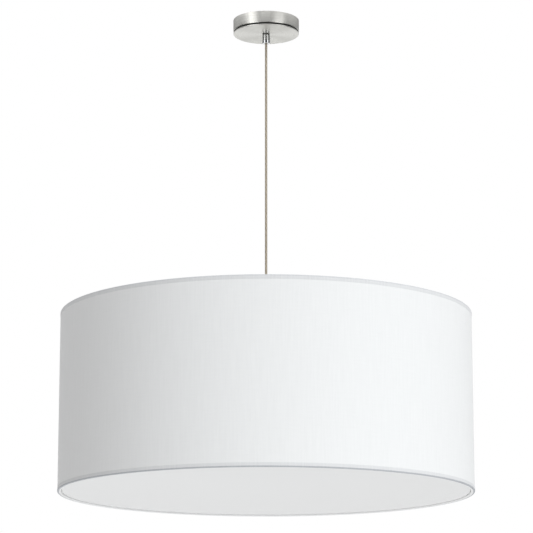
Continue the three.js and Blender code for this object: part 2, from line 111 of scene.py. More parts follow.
# %% [markdown]
# ## Materials: a few small helpers
#
# Colours are picked as sRGB hex values, as any colour picker gives them, but a shader counts in
# linear light, so one function turns them round. One adds a node with its settings and its
# links, and five short ones give the nodes that keep coming back. The last starts a material:
# one Principled shader, and the piece's own Object coordinates. Every finished piece has its
# origin at the world's, so these are metres from the centre of the ceiling plate, and a pattern
# keeps its real scale.

# %% Colours and nodes
finishes = {}
factor, first_colour, second_colour, mixed_colour = 0, 6, 7, 2  # places on a Mix node for colours


def linear(colour):
    """An sRGB colour such as "b9b6b0" as linear red, green, blue and alpha."""
    shares = [int(colour[at:at + 2], 16) / 255 for at in (0, 2, 4)]
    lit = [s / 12.92 if s <= 0.04045 else ((s + 0.055) / 1.055) ** 2.4 for s in shares]
    return lit + [1.0]


def add_node(tree, kind, inputs=None, **settings):
    """Adds a node. An input that is given another node's output is linked to it."""
    node = tree.nodes.new(kind)
    for key, value in settings.items():
        setattr(node, key, value)
    for key, value in (inputs or {}).items():
        if isinstance(value, bpy.types.NodeSocket):
            tree.links.new(value, node.inputs[key])
        else:
            node.inputs[key].default_value = value
    return node


# %% Nodes that keep coming back
def calculated(tree, operation, *values):
    """A sum, product or other operation on numbers and outputs."""
    node = add_node(tree, "ShaderNodeMath", dict(enumerate(values)), operation=operation)
    return node.outputs[0]


def ranged(tree, value, old=(0, 1), new=(0, 1), blend="LINEAR"):
    """A value taken from one range to another."""
    return add_node(tree, "ShaderNodeMapRange", {
        "Value": value, "From Min": old[0], "From Max": old[1], "To Min": new[0], "To Max": new[1],
    }, interpolation_type=blend).outputs["Result"]


def mixed(tree, share, under, over):
    """A colour that goes from under to over as the share goes from 0 to 1."""
    return add_node(tree, "ShaderNodeMix", {
        factor: share, first_colour: under, second_colour: over,
    }, data_type="RGBA").outputs[mixed_colour]


def noise(tree, place, scale, detail, roughness=0.5):
    """A random pattern, whose blots are one metre wide at a scale of 1."""
    return add_node(tree, "ShaderNodeTexNoise", {
        "Vector": place, "Scale": scale, "Detail": detail, "Roughness": roughness,
    }).outputs["Fac"]


def surface(tree, shader, height, depth, colour):
    """Gives a shader its colour, and raises its surface by depth where height is 1."""
    bump = add_node(tree, "ShaderNodeBump", {"Height": height, "Distance": depth})
    tree.links.new(bump.outputs["Normal"], shader.inputs["Normal"])
    tree.links.new(colour, shader.inputs["Base Color"])


# %% Start a material
def start_material(name, slot, colour, roughness, metallic=0.0, **sockets):
    """A material for one finish. Gives its node tree, its shader and Object coordinates."""
    material = bpy.data.materials.new(name)
    material.use_nodes = True
    material.diffuse_color = linear(colour)
    tree = material.node_tree
    tree.nodes.clear()
    values = {"Base Color": linear(colour), "Roughness": roughness, "Metallic": metallic}
    values.update({key.replace("_", " "): value for key, value in sockets.items()})
    shader = add_node(tree, "ShaderNodeBsdfPrincipled", values)
    add_node(tree, "ShaderNodeOutputMaterial", {"Surface": shader.outputs["BSDF"]})
    place = add_node(tree, "ShaderNodeTexCoord").outputs["Object"]
    finishes[slot] = material
    return tree, shader, place


print("mid grey 808080 is", round(linear("808080")[0], 3), "of white in linear light")

# %% [markdown]
# Most moulded, painted and plated surfaces share one kind of detail: a random grain of some
# real size that raises the surface by a few microns, makes it duller here and there, and
# shifts its colour a little. So that recipe is one function, and each finish gives it its own
# sizes.

# %% A finish with a grain, for moulded, painted and plated surfaces
grain_detail = 3.0
grain_roughness = 0.55


def grained(name, slot, colour, size, depth, dull, tones, metallic=0.0, **sockets):
    """A finish whose grain of that size moves its roughness and its colour between two values."""
    tree, shader, place = start_material(name, slot, colour, sum(dull) / 2, metallic, **sockets)
    grain = noise(tree, place, 1 / size, grain_detail, grain_roughness)
    tree.links.new(ranged(tree, grain, new=dull), shader.inputs["Roughness"])
    surface(tree, shader, grain, depth, mixed(tree, grain, linear(tones[0]), linear(tones[1])))
    return tree, shader


# %% [markdown]
# ## Modelling: outlines, spins and tubes
#
# Nearly every piece of this light was turned on a lathe, spun from sheet or bent from wire, so
# it is modelled in the same way. A turned piece starts as a plane that is merged to a single
# vertex. The vertex is extruded from corner to corner until half of the section is drawn, and
# the line is spun round the Z axis. A cylinder with loop cuts would do for a plain tube, but
# the outline shows every wall and every rounding as a size, and these can be checked against
# the frame. No real edge is perfectly sharp, so a corner may have a rounding, which catches
# the light.

# %% Round the corners of an outline
crisp, soft = mm(0.2), mm(0.3)  # the roundings of a sharp edge and of one that was broken by hand


def rounded(corners, steps=4):
    """Points of an outline. A corner is (radius, height), or (radius, height, rounding)."""
    points = []
    for index, corner in enumerate(corners):
        here = Vector(corner[:2])
        rounding = corner[2] if len(corner) == 3 else 0
        if rounding == 0:
            points.append(here)
            continue
        before = (Vector(corners[index - 1][:2]) - here).normalized()
        after = (Vector(corners[(index + 1) % len(corners)][:2]) - here).normalized()
        half = before.angle(after) / 2
        middle = here + (before + after).normalized() * rounding / math.sin(half)
        start = (here + before * rounding / math.tan(half) - middle).normalized()
        end = (here + after * rounding / math.tan(half) - middle).normalized()
        for step in range(steps + 1):
            points.append(middle + start.slerp(end, step / steps) * rounding)
    return points


square = [(0, 0, 0.25), (1, 0, 0.25), (1, 1), (0, 1)]
print("a square with two rounded corners has", len(rounded(square)), "points")


# %% Select one piece, and open it
def pick(piece):
    """Selects one piece and nothing else."""
    bpy.ops.object.select_all(action="DESELECT")
    bpy.context.view_layer.objects.active = piece
    piece.select_set(True)


def edit_all(piece):
    """Opens one piece in edit mode, with all of it selected and nothing else."""
    pick(piece)
    bpy.ops.object.mode_set(mode="EDIT")
    bpy.ops.mesh.select_mode(type="VERT")
    bpy.ops.mesh.select_all(action="SELECT")


# %% Draw a line, and finish a mesh
round_angle = math.radians(35)  # faces that meet at less than this are one smooth surface
join_distance = mm(0.002)


def draw(name, points):
    """Draws a line through the points, vertex by vertex, and leaves it in edit mode."""
    bpy.ops.object.select_all(action="DESELECT")
    bpy.ops.mesh.primitive_plane_add(size=mm(1), location=(0, 0, 0))
    piece = bpy.context.object
    piece.name = piece.data.name = name
    edit_all(piece)
    bpy.ops.mesh.merge(type="CENTER")
    bpy.ops.transform.translate(value=points[0])
    for before, after in zip(points, points[1:]):
        bpy.ops.mesh.extrude_region_move(TRANSFORM_OT_translate={"value": after - before})
    return piece


def close_mesh(piece):
    """Merges what was left double, turns all faces outwards and smooths the round stretches."""
    edit_all(piece)
    bpy.ops.mesh.remove_doubles(threshold=join_distance)
    bpy.ops.mesh.normals_make_consistent(inside=False)
    bpy.ops.object.mode_set(mode="OBJECT")
    bpy.ops.object.shade_smooth_by_angle(angle=round_angle)
    return piece


# %% Spin a line round the axis
def spun(piece, steps):
    """Spins the line that was just drawn round the Z axis."""
    bpy.ops.mesh.select_all(action="SELECT")
    bpy.ops.mesh.spin(steps=steps, angle=2 * math.pi, center=(0, 0, 0), axis=(0, 0, 1))
    bpy.ops.object.mode_set(mode="OBJECT")
    return close_mesh(piece)


def turned(name, corners, steps=96, rounding_steps=4):
    """Spins an outline. One that doesn't end on the axis is closed first."""
    points = [Vector((p.x, 0, p.y)) for p in rounded(corners, rounding_steps)]
    if points[0].x > 0 or points[-1].x > 0:
        points.append(points[0])
    return spun(draw(name, points), steps)


def turned_ring(name, outside, inside, ends, roundings, steps=96):
    """A ring or tube with a square section, whose corners have four roundings."""
    bottom, top = ends
    radii = (outside, outside, inside, inside)
    return turned(name, list(zip(radii, (bottom, top, top, bottom), roundings)), steps)


# %% Make a wire from its centreline
wire_detail = 4  # how finely a wire's girth is rounded


def bent_wire(name, points, radius):
    """Draws a wire's centreline, gives it its thickness as a curve, and makes it a mesh."""
    draw(name, points)
    bpy.ops.object.mode_set(mode="OBJECT")
    bpy.ops.object.convert(target="CURVE")
    curve = bpy.context.object.data
    curve.bevel_depth = radius
    curve.bevel_resolution = wire_detail
    curve.use_fill_caps = True
    bpy.ops.object.convert(target="MESH")
    piece = bpy.context.object
    piece.name = piece.data.name = name
    return close_mesh(piece)


# %% [markdown]
# A few more steps are shared. A piece of the frame whose form is right may only lack soft
# edges, so it is copied without its plain material, its loose triangles are joined up and it is
# bevelled. Its normals are then weighted by area, so that its big faces stay flat. A hole is
# drilled with a cylinder, taken away from the piece. A piece that repeats is modelled once and
# copied with a mesh of its own. And each finished piece is dressed: it gets its finish and the
# body that it moves with, and may stand for a node.

# %% Refine a piece of the frame
frame_join = mm(0.01)
frame_flat = math.radians(1)    # triangles that lie this flat to each other are one face
frame_sharp = math.radians(40)  # edges that are sharper than this are bevelled


def use_modifier(piece, kind, **settings):
    """Adds a modifier to a piece and applies it."""
    pick(piece)
    modifier = piece.modifiers.new(kind.lower(), kind)
    for key, value in settings.items():
        setattr(modifier, key, value)
    bpy.ops.object.modifier_apply(modifier=modifier.name)


def copied(piece, name):
    """A copy with a mesh of its own."""
    twin = piece.copy()
    twin.data = piece.data.copy()
    twin.name = twin.data.name = name
    bpy.context.scene.collection.objects.link(twin)
    return twin


def refined(node, name, edge):
    """A copy of a frame piece with its triangles joined up and its sharp edges rounded."""
    piece = copied(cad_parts[node], name)
    piece.parent = None
    piece.data.materials.clear()
    for key in list(piece.keys()):
        del piece[key]
    edit_all(piece)
    bpy.ops.mesh.remove_doubles(threshold=frame_join)
    bpy.ops.mesh.dissolve_limited(angle_limit=frame_flat)
    bpy.ops.object.mode_set(mode="OBJECT")
    use_modifier(piece, "BEVEL", width=edge, segments=2, limit_method="ANGLE",
                 angle_limit=frame_sharp, use_clamp_overlap=True)
    bpy.ops.object.shade_smooth_by_angle(angle=round_angle)
    use_modifier(piece, "WEIGHTED_NORMAL", keep_sharp=True)
    return piece


# %% Drill a hole
drill_sides = 32


def drill(piece, radius, depth, place, turn=0.0):
    """Drills a level hole at that place, along X or turned from it."""
    bpy.ops.mesh.primitive_cylinder_add(
        vertices=drill_sides, radius=radius, depth=depth, rotation=(0, math.pi / 2, turn),
        location=place)
    tool = bpy.context.object
    use_modifier(piece, "BOOLEAN", object=tool, operation="DIFFERENCE", solver="EXACT")
    bpy.data.objects.remove(tool)
    bpy.ops.object.shade_smooth_by_angle(angle=round_angle)


# %% Place a piece, and dress it
def placed(piece, matrix):
    """Moves a piece, and takes the move into its mesh."""
    piece.data.transform(matrix)
    return piece


def give_faces(piece, materials, choose):
    """Gives each face the material whose number choose tells from its radius and its height."""
    for material in materials:
        piece.data.materials.append(material)
    for face in piece.data.polygons:
        outwards = math.hypot(face.center.x, face.center.y)
        face.material_index = int(choose(outwards, face.center.z))


def dress(piece, body, finish, *stands_for):
    """Gives a piece its finish and its body, and hides the frame pieces that it stands for."""
    if not piece.data.materials:
        piece.data.materials.append(finishes[finish])
    if body:
        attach(piece, body)
    if stands_for:
        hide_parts(*stands_for)
    print(piece.name, "has", len(piece.data.polygons), "faces")


# %% [markdown]
# ## Flex
#
# The flex is a clear vinyl sheath, 4.5 mm thick, over three cores of tinned strands that are
# twisted round each other. It hangs dead straight, because the shade weighs over two kilograms.
# The cord is one tube: rings of vertices along its path, with a UV map that counts turns round
# the cord and metres along it, so the twist in its material follows the tube wherever it goes.
# A curve with a bevel would look alike, but a curve can't bend where the light swings from its
# grip, and a mesh can.

# %% Clear sheath over twisted tinned strands
core_lay = mm(34)       # length of one full twist of the three cores
cores = 3
strand_width = mm(0.5)  # drawn twice as coarse as the real strands, which would not show
strand_share = 0.12     # how high a strand stands beside a whole core
core_depth = mm(0.5)
flex_diameter = 2 * widest("flex")


def ridges(tree, turns, number):
    """That many round ridges in each turn: 1 on a ridge, and 0 between two."""
    waves = calculated(tree, "SINE", calculated(tree, "MULTIPLY", turns, number * math.pi))
    return calculated(tree, "ABSOLUTE", waves)


def make_flex_finish():
    tree, shader, place = start_material(
        "clear_vinyl_over_tinned_strands", "silver_flex", "b0a38f", 0.42, 0.2,
        Coat_Weight=1.0, Coat_Roughness=0.08, Coat_IOR=1.53)
    wrap = add_node(tree, "ShaderNodeUVMap", uv_map="wrap").outputs["UV"]
    parts = add_node(tree, "ShaderNodeSeparateXYZ", {"Vector": wrap}).outputs
    along = calculated(tree, "DIVIDE", parts["Y"], core_lay)
    twisted = calculated(tree, "ADD", parts["X"], along)
    core_height = ridges(tree, twisted, cores)
    strand_height = ridges(tree, twisted, round(math.pi * flex_diameter / strand_width))
    height = calculated(tree, "MULTIPLY_ADD", strand_height, strand_share, core_height)
    # The grooves between the twisted cores are painted darker than their crowns: painted shade.
    colour = mixed(tree, core_height, linear("a0937f"), linear("b9ac99"))
    surface(tree, shader, height, core_depth, colour)


make_flex_finish()
print("flex is", round(flex_diameter * 1000, 2), "mm thick")

# %% A tube along a path
tube_round_angle = math.radians(50)
nearly_along_x = 0.9


def cord_tube(name, path, radius, sides=16):
    """A closed tube of rings along a path, with turns and metres in its UV map, wrap."""
    sideways = (path[1] - path[0]).normalized().x
    across = Vector((1, 0, 0)) if abs(sideways) < nearly_along_x else Vector((0, 1, 0))
    points, lengths, run = [], [], 0.0
    for index, here in enumerate(path):
        before, after = path[max(index - 1, 0)], path[min(index + 1, len(path) - 1)]
        along = (after - before).normalized()
        across = (across - along * across.dot(along)).normalized()
        beside = along.cross(across)
        run += (here - before).length
        lengths.append(run)
        for side in range(sides):
            turn = 2 * math.pi * side / sides
            points.append(here + radius * (across * math.cos(turn) + beside * math.sin(turn)))
    faces, wraps = [], []
    for ring in range(len(path) - 1):
        for side in range(sides):
            low, high = ring * sides, (ring + 1) * sides
            step = (side + 1) % sides
            faces.append((low + side, low + step, high + step, high + side))
            left, right = side / sides, (side + 1) / sides
            wraps += [(left, lengths[ring]), (right, lengths[ring])]
            wraps += [(right, lengths[ring + 1]), (left, lengths[ring + 1])]
    last = (len(path) - 1) * sides
    for cap in (range(sides - 1, -1, -1), range(last, last + sides)):
        faces.append(tuple(cap))
        wraps += [(0.5, lengths[0])] * sides
    mesh = bpy.data.meshes.new(name)
    mesh.from_pydata(points, [], faces)
    layer = mesh.uv_layers.new(name="wrap")
    for corner, wrap in zip(layer.data, wraps):
        corner.uv = wrap
    piece = bpy.data.objects.new(name, mesh)
    bpy.context.scene.collection.objects.link(piece)
    pick(piece)
    bpy.ops.object.shade_smooth_by_angle(angle=tube_round_angle)
    return piece


def straight_down(top, bottom, steps):
    """Points down the light's axis."""
    return [Vector((0, 0, top + (bottom - top) * step / steps)) for step in range(steps + 1)]


# %% [markdown]
# The flex leaves the mouth of the upper grip and enters the mouth of the lower one. The real
# cord bends in its first 10 mm when the shade swings, so the rings there lie close together.

# %% The free flex, from grip to grip
flex_top = heights("grip_cap")[0]
flex_bottom = heights("lower_grip_cap")[1]
bend_end = flex_top - mm(10)
bend_steps = 12
hang_steps = 24
flex_path = straight_down(flex_top, bend_end, bend_steps)[:-1]
flex_path += straight_down(bend_end, flex_bottom, hang_steps)

flex = cord_tube("hanging_flex", flex_path, flex_diameter / 2)
dress(flex, None, "silver_flex", "flex")
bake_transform(flex)

# %% [markdown]
# Inside the canopy the flex climbs through the threaded stem, turns aside under the mounting
# bar and ends where its sheath is cut back. Its three leads go on to the terminal block and to
# the ground screw. Their routes pass through a few chosen points, joined by the same smooth
# curve that draughting programs use: it passes through every point, and its pull is shared by
# the root of the distance between them, so it makes no loops.


# %% A smooth curve through chosen points
def smooth_path(points, steps):
    """Centripetal Catmull-Rom points: steps of them between each pair of the given points."""
    given = [Vector(p) for p in points]
    given = [2 * given[0] - given[1]] + given + [2 * given[-1] - given[-2]]
    path = []
    for a, b, c, d in zip(given, given[1:], given[2:], given[3:]):
        t1 = (b - a).length ** 0.5
        t2 = t1 + (c - b).length ** 0.5
        t3 = t2 + (d - c).length ** 0.5
        for step in range(steps):
            t = t1 + (t2 - t1) * step / steps
            ab = a + (b - a) * t / t1
            bc = b + (c - b) * (t - t1) / (t2 - t1)
            cd = c + (d - c) * (t - t2) / (t3 - t2)
            abc = ab + (bc - ab) * t / t2
            bcd = bc + (cd - bc) * (t - t1) / (t3 - t1)
            path.append(abc + (bcd - abc) * (t - t1) / (t2 - t1))
    return path + [given[-2]]


# %% The tail of the flex
sheath_end = Vector((mm(-20), mm(-7), mm(-10.5)))
stem_top = heights("grip_stem")[1]
tail_route = [
    (0, 0, flex_top), (0, 0, mm(-36.25)), (0, 0, mm(-27)), (0, 0, stem_top - mm(2)),
    (mm(-2), mm(-0.7), stem_top + mm(2)), (mm(-10), mm(-5.25), mm(-11.06)),
    (mm(-17.75), mm(-7), mm(-10.5)), sheath_end,
]
flex_tail = cord_tube("flex_tail_in_canopy", smooth_path(tail_route, steps=8), flex_diameter / 2)
dress(flex_tail, "ceiling", "silver_flex", "flex_tail")

# %% Three leads in coloured vinyl
lead_radius = mm(0.8)
lead_start = sheath_end.x - clearance
lead_turn = Vector((mm(-22.55), mm(-14), sheath_end.z))  # the middle of the half circle
lead_turn_radius = mm(7)
lead_spacing = mm(1.2)
lead_height = mm(-7.9)                                   # beside the terminal block
pole_turn = mm(4.5)


def pole_lead(side, pole_x):
    """A lead's route: out of the sheath, back in a half circle, and along to its pole."""
    radius = lead_turn_radius + lead_spacing * side
    route = [(lead_start, sheath_end.y + lead_spacing * side, sheath_end.z)]
    for angle in (90, 135, 180, 225, 270):
        around = math.radians(angle)
        route.append(lead_turn + radius * Vector((math.cos(around), math.sin(around), 0)))
    outer = lead_turn.y - radius
    route.append((0, outer, (sheath_end.z + lead_height) / 2))
    route.append((pole_x - pole_turn, outer, lead_height))
    route.append((pole_x, outer + pole_turn, lead_height))
    route.append((pole_x, -pole_turn, lead_height))
    return route


ground_route = [
    (lead_start, mm(-7), mm(-9.3)), (mm(-22.55), mm(-7), mm(-9.3)),
    (mm(-27.75), mm(-8.125), mm(-8.25)), (mm(-30), mm(-8.125), mm(-3.95)),
    (mm(-30), mm(-4.3), mm(-3.15)),
]
leads = [  # use, name of the colour, the colour, a darker one, and the route
    ("live", "black", "2b2926", "1f1d1b", pole_lead(-1, mm(12.333))),
    ("neutral", "white", "ebe8e0", "dedad1", pole_lead(1, mm(21))),
    ("ground", "green", "35873f", "2a7436", ground_route),
]
for use, colour_name, colour, dark_colour, route in leads:
    grained(f"{colour_name}_extruded_vinyl", f"{colour_name}_lead", colour, size=mm(0.6),
            depth=mm(0.01), dull=(0.28, 0.42), tones=(dark_colour, colour), IOR=1.53)
    lead = cord_tube(f"{use}_lead_wire", smooth_path(route, steps=6), lead_radius, sides=12)
    dress(lead, "ceiling", f"{colour_name}_lead", f"{use}_lead")

# %% [markdown]
# ## Canopy
#
# The canopy is a cup of 1 mm sheet, spun on a lathe and brushed while it turned, and plated
# with satin nickel. Its side meets its face at a narrow groove over a rolled edge, which draws
# a dark line with a bright one on each side. The groove's faces are painted near black, as
# painted shade that deepens this line. The cup is drawn as one outline, outside and inside,
# and spun in enough steps that its silhouette stays round. Two holes for its side screws are
# drilled last.

# %% Satin nickel, brushed round the axis
streak_length = mm(30)
streak_width = mm(1.8)  # real brushing is ten times finer, and would not show at this distance
streak_depth = mm(0.01)
brushing = {"Anisotropic_Rotation": 0.25}  # a quarter turn lays the streaks round the axis


def angle_round(tree, parts):
    """The angle of a place round the light: 0 at the front, and growing to the right."""
    return calculated(tree, "ARCTAN2", parts["X"], calculated(tree, "MULTIPLY", parts["Y"], -1.0))


def brush_round(tree, shader):
    """Stretches what a metal mirrors across its brushing, round the vertical axis."""
    tangent = add_node(tree, "ShaderNodeTangent", direction_type="RADIAL", axis="Z")
    tree.links.new(tangent.outputs["Tangent"], shader.inputs["Tangent"])


def make_satin_nickel():
    tree, shader, place = start_material(
        "brushed_satin_nickel", "satin_nickel", "dcdcd8", 0.4, 1.0, Anisotropic=0.8, **brushing)
    brush_round(tree, shader)
    parts = add_node(tree, "ShaderNodeSeparateXYZ", {"Vector": place}).outputs
    flat = add_node(tree, "ShaderNodeVectorMath", {0: place, 1: (1, 1, 0)}, operation="MULTIPLY")
    radius = add_node(tree, "ShaderNodeVectorMath", {0: flat.outputs[0]}, operation="LENGTH")
    around = calculated(
        tree, "MULTIPLY", angle_round(tree, parts), widest("canopy") / streak_length)
    across = calculated(tree, "ADD", radius.outputs["Value"], parts["Z"])
    brushed = add_node(tree, "ShaderNodeCombineXYZ", {
        "X": around, "Y": calculated(tree, "MULTIPLY", across, 1 / streak_width)})
    streaks = noise(tree, brushed.outputs["Vector"], scale=1.0, detail=4.0, roughness=0.6)
    tree.links.new(ranged(tree, streaks, new=(0.34, 0.46)), shader.inputs["Roughness"])
    clear = ranged(tree, streaks, old=(0.3, 0.7))
    colour = mixed(tree, clear, linear("d3d2cd"), linear("e6e6e2"))
    surface(tree, shader, streaks, streak_depth, colour)


make_satin_nickel()
# Near-black nickel for the groove and the grip's neck: painted shade, not a finish the metal has.
grained("near_black_nickel_painted_shade", "painted_shade_nickel", "1c1c1b", size=mm(0.8), depth=mm(0.01),
        dull=(0.6, 0.8), tones=("171716", "222221"), metallic=0.5)
print("brushing: streaks of", streak_length, "by", streak_width, "m")

# %% The canopy's outline
canopy_radius = widest("canopy")
canopy_face, canopy_rim = heights("canopy")
canopy_wall = mm(1)
stem_bore = mm(5.3)
edge_height = mm(1.5)
edge_set_in = mm(0.4)
face_set_in = mm(0.2)
groove_height = mm(3.0)
groove_depth = mm(1.6)
groove_floor = canopy_face + edge_height
groove_top = groove_floor + groove_height
groove_radius = canopy_radius - groove_depth
canopy = turned("spun_canopy", [
    (canopy_radius, canopy_rim, soft),
    (canopy_radius, groove_top, mm(1.3)),
    (groove_radius, groove_top, crisp),
    (groove_radius, groove_floor, crisp),
    (canopy_radius - edge_set_in, groove_floor, crisp),
    (canopy_radius - face_set_in, canopy_face, mm(0.9)),
    (stem_bore, canopy_face, soft),
    (stem_bore, canopy_face + canopy_wall),
    (groove_radius - canopy_wall, canopy_face + canopy_wall, mm(0.8)),
    (groove_radius - canopy_wall, groove_top + canopy_wall, mm(0.8)),
    (canopy_radius - canopy_wall, groove_top + canopy_wall, mm(0.5)),
    (canopy_radius - canopy_wall, canopy_rim, soft),
], steps=192, rounding_steps=6)

# %% Screw holes, and the groove painted near black as shade
screw_height = mm(-9)
screw_hole = mm(2.3)
hole_depth = mm(8)
near = mm(0.1)  # how far from a surface the middle of its faces may lie
for side in (-1, 1):
    drill(canopy, screw_hole, hole_depth, (side * canopy_radius, 0, screw_height))


# The faces in the groove get the near-black nickel, as painted shade.
def in_groove_painted_shade(outwards, height):
    deep = groove_radius - near < outwards < canopy_radius - edge_set_in + near / 2
    return deep and groove_floor - near < height < groove_top + near


give_faces(canopy, [finishes["satin_nickel"], finishes["painted_shade_nickel"]], in_groove_painted_shade)
print("faces in the groove:", sum(face.material_index for face in canopy.data.polygons))
dress(canopy, "ceiling", "satin_nickel", "canopy")

# %% [markdown]
# ## Cord grips
#
# Each grip is a small turned cap, chromed, that squeezes a nylon insert round the flex. Chrome
# is a near mirror, and one that was polished round its axis draws the room as upright stripes.
# A plain cylinder of it shows nothing else. What makes it a made thing is its edges: the
# rounding at the mouth, the neck under the canopy, whose faces are painted near black as
# painted shade, and the bore that the flex disappears into.

# %% Chrome plate
tree, shader = grained(
    "bright_chrome_plate", "polished_chrome", "e6e8ea", size=mm(3), depth=mm(0.002),
    dull=(0.08, 0.14), tones=("e0e2e4", "ebedef"), metallic=1.0, Anisotropic=0.95, **brushing)
brush_round(tree, shader)

# %% Two grip caps
grip_radius = widest("grip_cap")
grip_length = heights("grip_cap")[1] - heights("grip_cap")[0]
grip_lip = mm(3)
grip_mouth = flex_diameter / 2 + clearance
neck_height = mm(1.6)
neck_depth = mm(1.1)
neck_top = neck_height - grip_length
grip = turned("grip", [
    (grip_radius - neck_depth, -grip_length, crisp),
    (grip_radius - neck_depth, neck_top, crisp),
    (grip_radius, neck_top, mm(0.4)),
    (grip_radius, 0, mm(1.2)),
    (grip_mouth, 0, mm(0.6)),
    (grip_mouth, -grip_lip, soft),
    (stem_bore, -grip_lip),
    (stem_bore, -grip_length),
])


# The faces of the grip's neck get the near-black nickel, as painted shade.
def on_neck_painted_shade(outwards, height):
    return height < neck_top + near and outwards > stem_bore + near


give_faces(grip, [finishes["polished_chrome"], finishes["painted_shade_nickel"]], on_neck_painted_shade)
upside_down = Matrix.Rotation(math.pi, 4, "X")
upper_grip = placed(copied(grip, "upper_grip_cap"),
                    Matrix.Translation((0, 0, flex_top)) @ upside_down)
lower_grip = placed(copied(grip, "lower_grip_cap_chromed"), Matrix.Translation((0, 0, flex_bottom)))
bpy.data.objects.remove(grip)
dress(upper_grip, "ceiling", "polished_chrome", "grip_cap")
dress(lower_grip, "stem", "polished_chrome", "lower_grip_cap")

# %% [markdown]
# ## Shade fabric
#
# The cloth is plain woven cotton, bonded to a stiff lining, so it stretches round the drum
# without a fold. Its ends lap 19 mm at the back, and both edges are turned in over the wire
# hoops. An 8 mm self trim covers each edge: it starts 0.1 mm over the wall and slopes out to
# 0.4 mm at the rim. A simulation would only add wrinkles that a bonded shade hasn't got, so the
# cloth is turned from its section like the rest. The lap is then raised from the wall as one
# strip.

# %% White cotton, plain woven
thread_pitch = mm(0.6)
thread_depth = mm(0.05)
slub_length = mm(64)
slub_width = mm(3.2)  # slubs are drawn five threads wide, or they would not show
weft_share = 0.45     # the warp's slubs run up the wall and show most


def make_fabric(name, light_colour, dark_colour):
    tree, shader, place = start_material(
        name, "white_fabric", light_colour, 0.92, Specular_IOR_Level=0.25, Sheen_Weight=0.08)
    wrap = add_node(tree, "ShaderNodeUVMap", uv_map="wrap").outputs["UV"]
    wave_scale = 2 * math.pi / 20 / (2 * thread_pitch)  # a wave at scale 1 repeats each 2 pi / 20
    yarns = [add_node(tree, "ShaderNodeTexWave", {
        "Vector": wrap, "Scale": wave_scale, "Distortion": 0.0,
    }, bands_direction=direction).outputs["Fac"] for direction in ("X", "Y")]
    over = add_node(tree, "ShaderNodeTexChecker", {
        "Vector": wrap, "Scale": 1 / thread_pitch}).outputs["Fac"]
    woven = add_node(tree, "ShaderNodeMix", {0: over, 2: yarns[0], 3: yarns[1]}, data_type="FLOAT")
    slubs = []
    for across, along in ((slub_length / 2, slub_width), (slub_width, slub_length)):
        laid = add_node(tree, "ShaderNodeMapping", {
            "Vector": wrap, "Scale": (1 / across, 1 / along, 1)})
        slubs.append(noise(tree, laid.outputs["Vector"], scale=1.0, detail=2.0))
    both = calculated(tree, "MULTIPLY_ADD", slubs[0], weft_share, slubs[1])
    clear = ranged(tree, both, old=(0.50, 0.95))
    colour = mixed(tree, clear, linear(dark_colour), linear(light_colour))
    surface(tree, shader, woven.outputs[0], thread_depth, colour)
    return finishes["white_fabric"]


# The trim and the two rim folds get greyer copies of the cotton: painted shade.
cloths = [
    make_fabric("plain_woven_cotton", "f1f1f1", "eeeeee"),
    make_fabric("plain_woven_cotton_hem_painted_shade", "e5e5e6", "dededf"),
    make_fabric("plain_woven_cotton_top_fold_painted_shade", "dedfe1", "d6d7d9"),
    make_fabric("plain_woven_cotton_bottom_fold_painted_shade", "c1c3c7", "b7b9bd"),
]
on_wall, on_hem, on_top_fold, on_bottom_fold = range(len(cloths))
print("threads", thread_pitch, "m apart")

# %% The section of the cloth
shade_radius = widest("shade_fabric")
shade_bottom, shade_top = heights("shade_fabric")
hem_height = mm(8)
hem_proud = mm(0.4)
trim_edge = mm(0.1)
cloth = mm(0.5)
hook_height = mm(7)
skin_radius = shade_radius - hem_proud
skin_inside = skin_radius - cloth
hoop_wire = heights("top_hoop")[1] - heights("top_hoop")[0]
hoop_radius = widest("top_hoop") - hoop_wire / 2
hook_outside = hoop_radius - hoop_wire / 2 - clearance
hook_inside = hook_outside - cloth
shade_steps = 256
rim_round = mm(1.6)
fold_height = mm(2.3)
fold_crease = mm(0.25)
fold_under = mm(3.2)


def half_section(edge, inwards):
    """The turned edge at one rim, from the proud hem round the rim and up its inner side."""
    corners = [
        (skin_radius, hem_height),
        (skin_radius + trim_edge, hem_height, mm(0.05)),
        (shade_radius, fold_height + fold_crease, mm(0.1)),
        (shade_radius - fold_crease, fold_height, mm(0.1)),
        (shade_radius, fold_height - fold_crease, mm(0.1)),
        (shade_radius, 0, rim_round),
        (shade_radius - fold_under, 0),
        (hook_inside, 0, rim_round),
        (hook_inside, hook_height, crisp),
        (hook_outside, hook_height, crisp),
        (hook_outside, cloth, mm(0.5)),
        (skin_inside, cloth, mm(0.5)),
    ]
    return [(radius, edge + inwards * height, *rounding) for radius, height, *rounding in corners]


section = half_section(shade_top, -1) + half_section(shade_bottom, 1)[::-1]
fabric = turned("shade_cloth", section, steps=shade_steps)
print("the turned edge is", round(hoop_wire * 1000, 1), "mm wire wide, rim at", shade_radius)

# %% The lap at the back
lap_steps = 2
lap_proud = mm(0.25)
lap_angle = 2 * math.pi * lap_steps / shade_steps
edit_all(fabric)
bpy.ops.mesh.select_mode(type="FACE")
bpy.ops.mesh.select_all(action="DESELECT")
bpy.ops.object.mode_set(mode="OBJECT")
for face in fabric.data.polygons:
    middle = face.center
    outside = math.hypot(middle.x, middle.y) > (skin_inside + skin_radius) / 2
    wall = shade_bottom + hem_height < middle.z < shade_top - hem_height
    back = 0 < math.atan2(middle.y, middle.x) - math.pi / 2 < lap_angle
    face.select = outside and wall and back
lapped = sum(face.select for face in fabric.data.polygons)
bpy.ops.object.mode_set(mode="EDIT")
bpy.ops.mesh.extrude_region_shrink_fatten(TRANSFORM_OT_shrink_fatten={"value": lap_proud})
bpy.ops.object.mode_set(mode="OBJECT")
close_mesh(fabric)
print("lap:", lapped, "faces raised,", round(lap_angle * skin_radius * 1000, 1), "mm wide")
